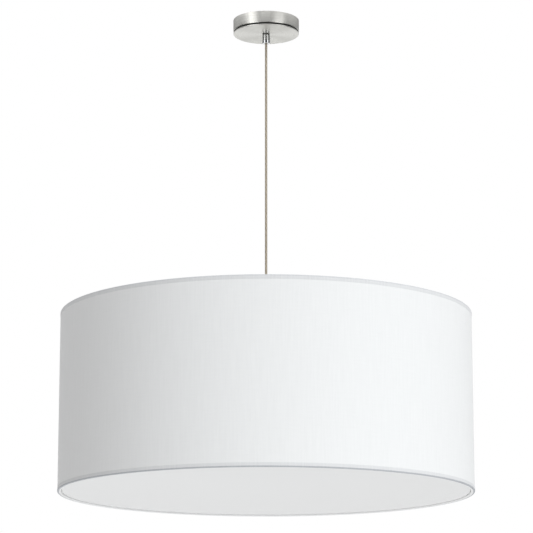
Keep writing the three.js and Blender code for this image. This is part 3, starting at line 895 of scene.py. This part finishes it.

# %% [markdown]
# The weave runs round the drum and up it, so the cloth's map is measured on the drum itself:
# metres round its wall, and metres of height. The seam of the map lies under the lap. The
# faces of the trim get a second material: the same cotton, pressed and glued double, painted
# a little greyer as painted shade. The two folds right at the rims are painted greyer still,
# each with a material of its own, as painted shade for the dark outline of each rim, the lower
# one darkest.


# %% The cloth's map and its hems
def wrap_round(piece, radius):
    """A UV map in metres: round the axis, and up. Its seam is at the back."""
    mesh = piece.data
    layer = mesh.uv_layers.get("wrap") or mesh.uv_layers.new(name="wrap")
    for face in mesh.polygons:
        centre_angle = math.atan2(face.center.x, -face.center.y)
        for corner in face.loop_indices:
            place = mesh.vertices[mesh.loops[corner].vertex_index].co
            angle = math.atan2(place.x, -place.y)
            if angle - centre_angle > math.pi:
                angle -= 2 * math.pi
            if centre_angle - angle > math.pi:
                angle += 2 * math.pi
            outwards = math.hypot(place.x, place.y) - radius
            layer.data[corner].uv = (angle * radius, place.z + outwards)


# Chooses the greyer cottons, painted shade, for the trim and for the two folds at the rims.
def cloth_at(outwards, height):
    over_bottom, under_top = height - shade_bottom, shade_top - height
    at_rim = outwards > shade_radius - fold_under
    if at_rim and over_bottom < fold_height:
        return on_bottom_fold
    if at_rim and under_top < fold_height:
        return on_top_fold
    on_trim = outwards > skin_radius and min(over_bottom, under_top) < hem_height
    return on_hem if on_trim else on_wall


wrap_round(fabric, skin_radius)
give_faces(fabric, cloths, cloth_at)
dress(fabric, "pendant", "white_fabric", "shade_fabric")

# %% [markdown]
# ## Lining, hoops and spider
#
# The lining is a sheet of white styrene, 0.8 mm thick, rolled into a drum. Two hoops of 4 mm
# wire stretch it from inside, and both are powder coated, as are the four wires and the washer
# of the spider. Powder coat is a thick glossy skin with the ripple of orange peel.

# %% Styrene, powder coat
grained("rolled_styrene_sheet", "white_lining", "f4f4f2", size=mm(1.2), depth=mm(0.01),
        dull=(0.42, 0.58), tones=("efefec", "f6f6f4"), IOR=1.59)
grained("white_powder_coat", "white_enamel", "f1f0ec", size=mm(1.4), depth=mm(0.02),
        dull=(0.26, 0.42), tones=("eceae5", "f4f3ef"), IOR=1.5)

# %% Lining and hoops
lining_radius = widest("shade_lining")
lining_wall = mm(0.8)
lining = turned_ring("styrene_lining", lining_radius, lining_radius - lining_wall,
                     heights("shade_lining"), [crisp] * 4, steps=shade_steps)
dress(lining, "pendant", "white_lining", "shade_lining")

wire_rounding = hoop_wire / 2 * 0.999  # a little under half, so that no two points coincide
for node in ("top_hoop", "bottom_hoop"):
    hoop = turned_ring(node + "_wire", hoop_radius + wire_rounding, hoop_radius - wire_rounding,
                       heights(node), [wire_rounding] * 4, steps=192)
    dress(hoop, "pendant", "white_enamel", node)

# %% [markdown]
# A spider wire starts flat on the washer, where the real one is welded, runs out to the wall,
# bends up in a 12 mm curve and ends under the top hoop. One wire is drawn in the XZ plane, and
# four copies of it are turned round the axis.

# %% Spider
washer_bottom, washer_top = heights("spider_washer")
washer = turned_ring("pressed_spider_washer", widest("spider_washer"), stem_bore,
                     (washer_bottom, washer_top), (mm(0.5), mm(0.8), soft, soft))
dress(washer, "pendant", "white_enamel", "spider_washer")

wire_radius = mm(2)
spider_start = mm(13)
spider_bend = mm(12)
arm_height = washer_top + clearance + wire_radius
arm_end = heights("top_hoop")[0] - clearance
arm_line = rounded([
    (spider_start, arm_height), (hoop_radius, arm_height, spider_bend), (hoop_radius, arm_end),
], steps=10)
arm = bent_wire("spider", [Vector((p.x, 0, p.y)) for p in arm_line], wire_radius)
first_arm_angle = math.pi / 4
quarter_turns = [first_arm_angle + index * math.pi / 2 for index in range(4)]
for number, angle in enumerate(quarter_turns, 1):
    spoke = placed(copied(arm, f"spider_wire_{number}"), Matrix.Rotation(angle, 4, "Z"))
    dress(spoke, "pendant", "white_enamel", f"spider_arm_{number}")
bpy.data.objects.remove(arm)

# %% [markdown]
# ## Diffuser
#
# The diffuser is a disc of opal styrene, 1 mm thick, with a flat steel ring glued along its
# upper side. The ring lies on four magnets. The disc is matt below, so that the lamps glow
# through it as one even field, and with the lamps off it is an even pale grey.

# %% Opal styrene and zinc plate
grained("matt_opal_styrene", "diffuser_film", "ebebeb", size=mm(1.5), depth=mm(0.004),
        dull=(0.62, 0.78), tones=("eaeaea", "ececec"), IOR=1.59)
grained("zinc_plated_steel", "zinc_steel", "b9bcbe", size=mm(5), depth=mm(0.01),
        dull=(0.3, 0.5), tones=("a9adb0", "c6c8c9"), metallic=1.0)

# %% Disc, ring and magnets
disc_radius = widest("diffuser_sheet")
disc_bottom, disc_top = heights("diffuser_sheet")
disc = turned("opal_disc", [
    (0, disc_bottom), (disc_radius, disc_bottom, soft), (disc_radius, disc_top, soft), (0, disc_top),
], steps=shade_steps)
dress(disc, "diffuser", "diffuser_film", "diffuser_sheet")

ring_width = mm(10)
ring = turned_ring("steel_ring", disc_radius, disc_radius - ring_width,
                   heights("diffuser_hoop"), [mm(0.25)] * 4, steps=192)
dress(ring, "diffuser", "zinc_steel", "diffuser_hoop")

for number in range(1, 5):
    node = f"magnet_catch_{number}"
    dress(refined(node, node + "_tab", mm(0.3)), "pendant", "zinc_steel", node)

# %% [markdown]
# ## Cluster
#
# A threaded tube comes down from the lower grip. It carries a collar, a round box of spun
# steel that is closed by a cover and a cap nut, and four arms that each end in a lampholder.
# The box hides the splices. All of it is white, but for the nut.

# %% Collar, box, cover and cap nut
collar = turned_ring("turned_collar", widest("stem_collar"), stem_bore, heights("stem_collar"),
                     (mm(0.6), mm(0.6), crisp, crisp))
dress(collar, "pendant", "white_enamel", "stem_collar")

box_bottom, box_top = heights("cluster_housing")
box_radius = widest("cluster_housing")
box_wall = mm(1.5)
box = turned("spun_cluster_box", [
    (stem_bore, box_top), (box_radius, box_top, mm(4)),
    (box_radius, box_bottom, mm(0.4)), (box_radius - box_wall, box_bottom, mm(0.4)),
    (box_radius - box_wall, box_top - box_wall, mm(2.5)), (stem_bore, box_top - box_wall),
], steps=128, rounding_steps=6)
lamp_height = (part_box("cluster_arm_1")[0].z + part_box("cluster_arm_1")[1].z) / 2
arm_hole_depth = mm(12)
arm_hole_reach = box_radius - mm(2)
for angle in quarter_turns:
    x, y = arm_hole_reach * math.cos(angle), arm_hole_reach * math.sin(angle)
    drill(box, stem_bore, arm_hole_depth, (x, y, lamp_height), turn=angle)
dress(box, "pendant", "white_enamel", "cluster_housing")

cover_bottom, cover_top = heights("cluster_cover")
bead_outside, bead_width, bead_side = box_radius - mm(2), mm(4), mm(1)
bead_floor = cover_bottom + mm(0.4)
cover = turned("cluster_box_cover", [
    (box_radius, cover_bottom, mm(0.7)), (box_radius, cover_top, mm(0.5)),
    (stem_bore, cover_top), (stem_bore, cover_bottom, soft),
    (bead_outside - bead_width, cover_bottom, soft),
    (bead_outside - bead_width + bead_side, bead_floor, crisp),
    (bead_outside - bead_side, bead_floor, crisp), (bead_outside, cover_bottom, crisp),
], steps=128)
dress(cover, "pendant", "white_enamel", "cluster_cover")

nut_bottom, nut_top = heights("cap_nut")
nut_radius = widest("cap_nut")
nut_dome = mm(4)
nut_rim = mm(6)
nut_depth = mm(8)
cap_nut = turned("domed_cap_nut", [
    (0, nut_bottom), (nut_dome, nut_bottom, mm(3)), (nut_radius, nut_top - nut_rim, mm(2)),
    (nut_radius, nut_top, mm(0.5)), (stem_bore, nut_top, soft),
    (stem_bore, nut_top - nut_depth), (0, nut_top - nut_depth),
], steps=64, rounding_steps=6)
dress(cap_nut, "stem", "satin_nickel", "cap_nut")

# %% [markdown]
# Everything on a lamp's axis is turned as if it stood upright at the origin, with its height
# measured from the axis of the light. It is then laid down and turned to its arm. So one
# function takes a piece, and makes the four copies that the four arms need.


# %% Lay a piece along the four arms
def along_arms(piece, name, body, finish, node):
    """Four copies along the arms. body and node may hold the arm's number."""
    lying = Matrix.Translation((0, 0, lamp_height)) @ Matrix.Rotation(math.pi / 2, 4, "Y")
    for number, angle in enumerate(quarter_turns, 1):
        twin = copied(piece, f"{name}_{number}")
        placed(twin, Matrix.Rotation(angle, 4, "Z") @ lying)
        dress(twin, body.format(number), finish, node.format(number))
    bpy.data.objects.remove(piece)


def arm_span(node):
    """Where a node of the first arm starts and ends along that arm, and its radius."""
    low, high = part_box(node)
    radius = (high.z - low.z) / 2
    corner = radius * math.sqrt(0.5)
    return (low.x + corner) * math.sqrt(2), (high.x - corner) * math.sqrt(2), radius


print("arm from", [round(v, 4) for v in arm_span("cluster_arm_1")])

# %% Moulded and brass parts on the arms
grained("moulded_phenolic", "phenolic", "e9e6de", size=mm(1), depth=mm(0.01),
        dull=(0.34, 0.5), tones=("e2dfd6", "ece9e2"), IOR=1.6)
grained("drawn_brass", "brass", "cda94f", size=mm(2), depth=mm(0.006),
        dull=(0.2, 0.38), tones=("c09a42", "d6b45c"), metallic=1.0)

# %% Arms, lampholders and screw shells
arm_start, arm_stop, arm_radius = arm_span("cluster_arm_1")
tube_bore = mm(3.4)
arm_tube = turned_ring("arm_tube", arm_radius, tube_bore, (arm_start, arm_stop),
                       (soft, soft, crisp, crisp), steps=48)
along_arms(arm_tube, "cluster_arm_tube", "pendant", "white_enamel", "cluster_arm_{}")

holder_start = mm(42 + 46)  # the radius of the box, and the length of an arm
holder_base = mm(9)
holder_neck = mm(12)
holder_shoulder = holder_start + mm(8)
holder_groove = holder_start + mm(13)
groove_side = mm(0.6)
groove_width = mm(1)
holder_groove_depth = mm(0.8)
shell_wall = mm(0.5)
shell_radius = mm(14)
holder_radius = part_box("lampholder_1")[1].z - lamp_height
holder_bore = shell_radius + clearance
shell_start = holder_start + holder_base + clearance
cap_start = shell_start + shell_wall + clearance
cap_length = mm(25)
shell_end = cap_start + cap_length
holder_mouth = shell_end + mm(2)
holder = turned("holder", [
    (stem_bore, holder_start, mm(0.5)),
    (holder_neck, holder_start, mm(1.5)),
    (holder_radius, holder_shoulder, mm(2)),
    (holder_radius, holder_groove, soft),
    (holder_radius - holder_groove_depth, holder_groove + groove_side, soft),
    (holder_radius - holder_groove_depth, holder_groove + groove_side + groove_width, soft),
    (holder_radius, holder_groove + 2 * groove_side + groove_width, soft),
    (holder_radius, holder_mouth, mm(1.4)),
    (holder_bore, holder_mouth, mm(0.8)),
    (holder_bore, holder_start + holder_base, mm(0.5)),
    (stem_bore, holder_start + holder_base, soft),
], steps=72)
along_arms(holder, "moulded_lampholder", "pendant", "phenolic", "lampholder_{}")

shell = turned("shell", [
    (0, shell_start), (shell_radius, shell_start, mm(0.9)), (shell_radius, shell_end, crisp),
    (shell_radius - shell_wall, shell_end, crisp),
    (shell_radius - shell_wall, shell_start + shell_wall, mm(0.5)), (0, shell_start + shell_wall),
], steps=64)
along_arms(shell, "drawn_screw_shell", "pendant", "brass", "screw_shell_{}")

# %% [markdown]
# ## Lamps
#
# A lamp is an aluminium cap with a rolled thread, black glass round its centre contact, and a
# blown globe of opal glass. The thread is drawn as round waves in the cap's outline. The globe
# follows the same eight chosen points as the frame's, joined by the smooth curve, and is spun
# as an open shell: only then does it get its wall, with a Solidify modifier.

# %% Cap metal, black glass and opal glass
grained("rolled_aluminium_cap", "cap_metal", "cfcecb", size=mm(1.5), depth=mm(0.004),
        dull=(0.26, 0.42), tones=("c4c3c0", "d8d7d4"), metallic=1.0)
grained("black_cap_glass", "black_cap_glass", "151413", size=mm(1), depth=mm(0.01),
        dull=(0.08, 0.18), tones=("100f0e", "1b1a18"), IOR=1.52)
grained("blown_opal_glass", "opal_globe", "f5f3ec", size=mm(9), depth=mm(0.02),
        dull=(0.16, 0.28), tones=("f2f0e8", "f8f6f0"), IOR=1.52, Subsurface_Weight=0.25,
        Subsurface_Radius=(mm(6), mm(6), mm(5)), Subsurface_Scale=1.0)

# %% Threaded caps
cap_radius = mm(13.2)
tip_radius = mm(4.5)
tip_height = mm(0.8)
glass_height = mm(3)
cap_thread_pitch = mm(3.6)
cap_thread_depth = mm(0.9)
thread_turns = 5
thread_points = 8
thread_start = cap_start + mm(5)
waves = []
for step in range(thread_turns * thread_points + 1):
    swing = (1 + math.cos(2 * math.pi * step / thread_points)) / 2
    waves.append((cap_radius - cap_thread_depth * swing,
                  thread_start + cap_thread_pitch * step / thread_points))
cap = turned("cap", [
    (0, cap_start), (tip_radius, cap_start, mm(1)), (tip_radius, cap_start + tip_height, crisp),
    (cap_radius - cap_thread_depth, cap_start + glass_height, mm(0.5)), *waves,
    (cap_radius, cap_start + cap_length, soft), (0, cap_start + cap_length),
], steps=64)


def on_glass(outwards, height):
    return cap_start + tip_height < height < cap_start + glass_height and outwards > tip_radius


give_faces(cap, [finishes["cap_metal"], finishes["black_cap_glass"]], on_glass)
along_arms(cap, "threaded_lamp_cap", "bulb_{}", "cap_metal", "bulb_cap_{}")

# %% Opal globes
globe_start = shell_end + clearance
globe_radius = mm(30)
globe_length = mm(82)
globe_wall = mm(1.2)
globe_shares = [  # of the radius and of the length
    (0.45, 0), (0.5, 0.12), (0.74, 0.36), (0.95, 0.54), (1, 0.66), (0.93, 0.82), (0.66, 0.95),
    (0, 1),
]
globe_points = [(r * globe_radius, 0, globe_start + h * globe_length) for r, h in globe_shares]
outline = [Vector((min(p.x, globe_radius), 0, p.z)) for p in smooth_path(globe_points, steps=5)]
outline[-1].x = 0
globe = spun(draw("globe", outline), steps=96)
use_modifier(globe, "SOLIDIFY", thickness=globe_wall, offset=-1.0)
close_mesh(globe)
print("globe:", len(outline), "points in its outline")
along_arms(globe, "blown_opal_globe", "bulb_{}", "opal_globe", "bulb_globe_{}")

# %% [markdown]
# ## Small hardware
#
# The pieces left are stampings, hex nuts, a moulded terminal block and screws, hidden in the
# canopy and on the stem. Their forms are right in the frame, and what they lack is the soft
# edge of a real stamping or moulding, so they are refined as the magnets' tabs were. Threaded
# tubes, inserts and screws are seen by almost nobody, and only get a better finish. The flex
# inside the stem is one more tube. It starts a little low, because the end of the free flex
# dips as the shade tilts.

# %% Nylon, green screw, and the small pieces
grained("moulded_nylon", "nylon", "e0dcd4", size=mm(0.8), depth=mm(0.01),
        dull=(0.4, 0.56), tones=("d8d4cb", "e4e1d9"), IOR=1.53, Subsurface_Weight=0.1,
        Subsurface_Radius=(mm(2), mm(2), mm(2)), Subsurface_Scale=1.0)
grained("green_dyed_zinc_plate", "green_screw", "3f9150", size=mm(1.5), depth=mm(0.008),
        dull=(0.3, 0.46), tones=("357f45", "4a9d5a"), metallic=0.85)

for node, body, finish, edge in [
    ("mounting_bar", "ceiling", "zinc_steel", 0.4), ("terminal_block", "ceiling", "nylon", 0.5),
    ("grip_locknut", "ceiling", "brass", 0.4), ("ring_nut", "stem", "zinc_steel", 0.5),
    ("ground_screw", "ceiling", "green_screw", 0.25),
]:
    dress(refined(node, node + "_finished", mm(edge)), body, finish, node)

for node, finish in [
    ("grip_stem", "brass"), ("nipple", "zinc_steel"), ("canopy_screw_1", "satin_nickel"),
    ("canopy_screw_2", "satin_nickel"), ("grip_insert", "nylon"), ("lower_grip_insert", "nylon"),
]:
    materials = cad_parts[node].data.materials
    materials.clear()
    materials.append(finishes[finish])

dip_room = mm(0.9)
stem_steps = 14
inner_low, inner_high = heights("inner_flex")
inner_path = straight_down(inner_high - dip_room, inner_low, stem_steps)
inner_cord = cord_tube("flex_in_stem", inner_path, flex_diameter / 2)
dress(inner_cord, "stem", "silver_flex", "inner_flex")

# %% [markdown]
# ## Floor and light
#
# A pale floor lies far below the light, where it fills the lower half of a room as a real
# floor does. No metal mirrors it. The background is pure white for the camera, and an even grey
# for all soft light. Only mirrors see a studio: rings of dark and bright stretches round the
# room, one over the other, which draw the bands on the canopy, and an even light overhead.
# Blender would sample that pattern as a lamp, and so light the cloth with it, unless it is told
# not to. One big soft sun from the right shapes the drum's wall, a weaker one comes from the
# back, and a soft light from below keeps the diffuser as bright as the wall.

# %% Pale floor
floor_height = -3.0
floor_radius = 14
bpy.ops.object.select_all(action="DESELECT")
bpy.ops.mesh.primitive_circle_add(
    vertices=128, radius=floor_radius, fill_type="NGON", location=(0, 0, floor_height))
floor = bpy.context.object
floor.name = floor.data.name = "studio_floor"
grained("pale_painted_floor", "floor", "f4f4f4", size=0.4, depth=mm(0.5),
        dull=(0.75, 0.85), tones=("f2f2f2", "f6f6f6"))
floor.data.materials.append(finishes["floor"])
floor.visible_glossy = False
print("floor at", floor_height, "m")

# %% Rings of light round the room
room_light = 0.443
overhead = 0.8
overhead_height, overhead_blur = 0.75, 0.12
brightest = 2.8
floor_ring = [(-180, 1.70), (-140, 1.70), (-120, 0.10), (120, 0.10), (140, 1.70), (180, 1.70)]
low_ring = [
    (-180, 0.95), (-145, 0.95), (-130, 0.10), (-68, 0.00), (-58, 2.50), (-34, 2.30), (-24, 0.00),
    (22, 0.00), (32, 1.90), (58, 1.90), (68, 0.00), (130, 0.10), (145, 0.95), (180, 0.95),
]
card_ring = [
    (-180, 0.30), (-140, 0.35), (-100, 0.20), (-66, 0.10), (-56, 1.55), (-34, 1.30), (-24, 0.00),
    (22, 0.00), (32, 1.25), (56, 1.30), (68, 0.10), (100, 0.20), (140, 0.30), (180, 0.30),
]
high_ring = [
    (-180, 1.00), (-145, 1.35), (-101, 1.65), (-81, 2.55), (-66, 2.80), (-55, 2.00), (-47, 1.00),
    (-38, 0.00), (-30, 0.10), (-18, 2.25), (-10, 2.20), (12, 2.00), (22, 1.70), (32, 0.30),
    (40, 0.00), (56, 0.10), (70, 1.70), (90, 1.50), (110, 1.60), (145, 1.40), (180, 1.00),
]
rings = [  # how high a direction has to point, how soft that edge is, and the light there
    (-0.75, 0.1, low_ring), (-0.12, 0.07, card_ring), (0.40, 0.05, high_ring),
]

# %% Studio round the light
world = bpy.data.worlds.new("studio")
world.use_nodes = True
bpy.context.scene.world = world
world.cycles.sampling_method = "NONE"  # sampled as a lamp, its pattern would light the cloth too
tree = world.node_tree
tree.nodes.clear()
directions = add_node(tree, "ShaderNodeTexCoord").outputs["Generated"]
parts = add_node(tree, "ShaderNodeSeparateXYZ", {"Vector": directions}).outputs
round_room = ranged(tree, angle_round(tree, parts), old=(-math.pi, math.pi))


def round_the_room(levels):
    """The light at each angle round the room, 0 at the front and growing to the right."""
    horizon = add_node(tree, "ShaderNodeValToRGB", {"Fac": round_room})
    stops = horizon.color_ramp.elements
    while len(stops) > 1:
        stops.remove(stops[0])
    stops[0].position = 0
    for angle, level in levels:
        share = level / brightest
        stop = stops[0] if angle == -180 else stops.new((angle + 180) / 360)
        stop.color = (share, share, share, 1)
    return add_node(tree, "ShaderNodeVectorMath", {
        0: horizon.outputs["Color"], 1: (brightest, brightest, brightest),
    }, operation="MULTIPLY").outputs[0]


def above(height, blur):
    """1 where a direction points higher than that, and 0 below, with a soft step."""
    return ranged(tree, parts["Z"], old=(height - blur, height + blur), blend="SMOOTHSTEP")


def grey(level):
    return (level, level, level, 1)


room = round_the_room(floor_ring)
for height, blur, levels in rings:
    room = mixed(tree, above(height, blur), room, round_the_room(levels))
room = mixed(tree, above(overhead_height, overhead_blur), room, grey(overhead))
ray = add_node(tree, "ShaderNodeLightPath").outputs
room = mixed(tree, ray["Is Diffuse Ray"], room, grey(room_light))
room = mixed(tree, ray["Is Camera Ray"], room, grey(1))
background = add_node(tree, "ShaderNodeBackground", {"Color": room})
add_node(tree, "ShaderNodeOutputWorld", {"Surface": background.outputs["Background"]})
bpy.context.scene.view_settings.view_transform = "Standard"
print("room:", len(high_ring), "stops in its highest ring")


# %% Two suns and a light from below
def add_light(name, kind, **settings):
    """A light that no metal mirrors."""
    data = bpy.data.lights.new(name, kind)
    for key, value in settings.items():
        setattr(data, key, value)
    light = bpy.data.objects.new(name, data)
    light.visible_glossy = False
    bpy.context.scene.collection.objects.link(light)
    return light


def add_sun(name, azimuth, height, width, **settings):
    """A sun as wide as that, from that angle round the room and that high, in degrees."""
    light = add_light(name, "SUN", angle=math.radians(width), **settings)
    around, up = math.radians(azimuth), math.radians(height)
    towards = Vector((math.sin(around) * math.cos(up), -math.cos(around) * math.cos(up), math.sin(up)))
    light.rotation_euler = towards.to_track_quat("Z", "Y").to_euler()
    print(name, "shines from", [round(v, 2) for v in towards])


add_sun("key", azimuth=39.5, height=30, width=32, energy=1.91, color=(0.95, 0.985, 1.0))
add_sun("back", azimuth=-168, height=25, width=20, energy=1.0)
glow_height = floor_height + 0.2
glow = add_light("floor_glow", "AREA", shape="DISK", size=2.4, energy=7.0,
                 color=(1.0, 0.995, 0.985))
glow.location = (0, 0, glow_height)
glow.rotation_euler = (math.pi, 0, 0)
glow.visible_camera = False
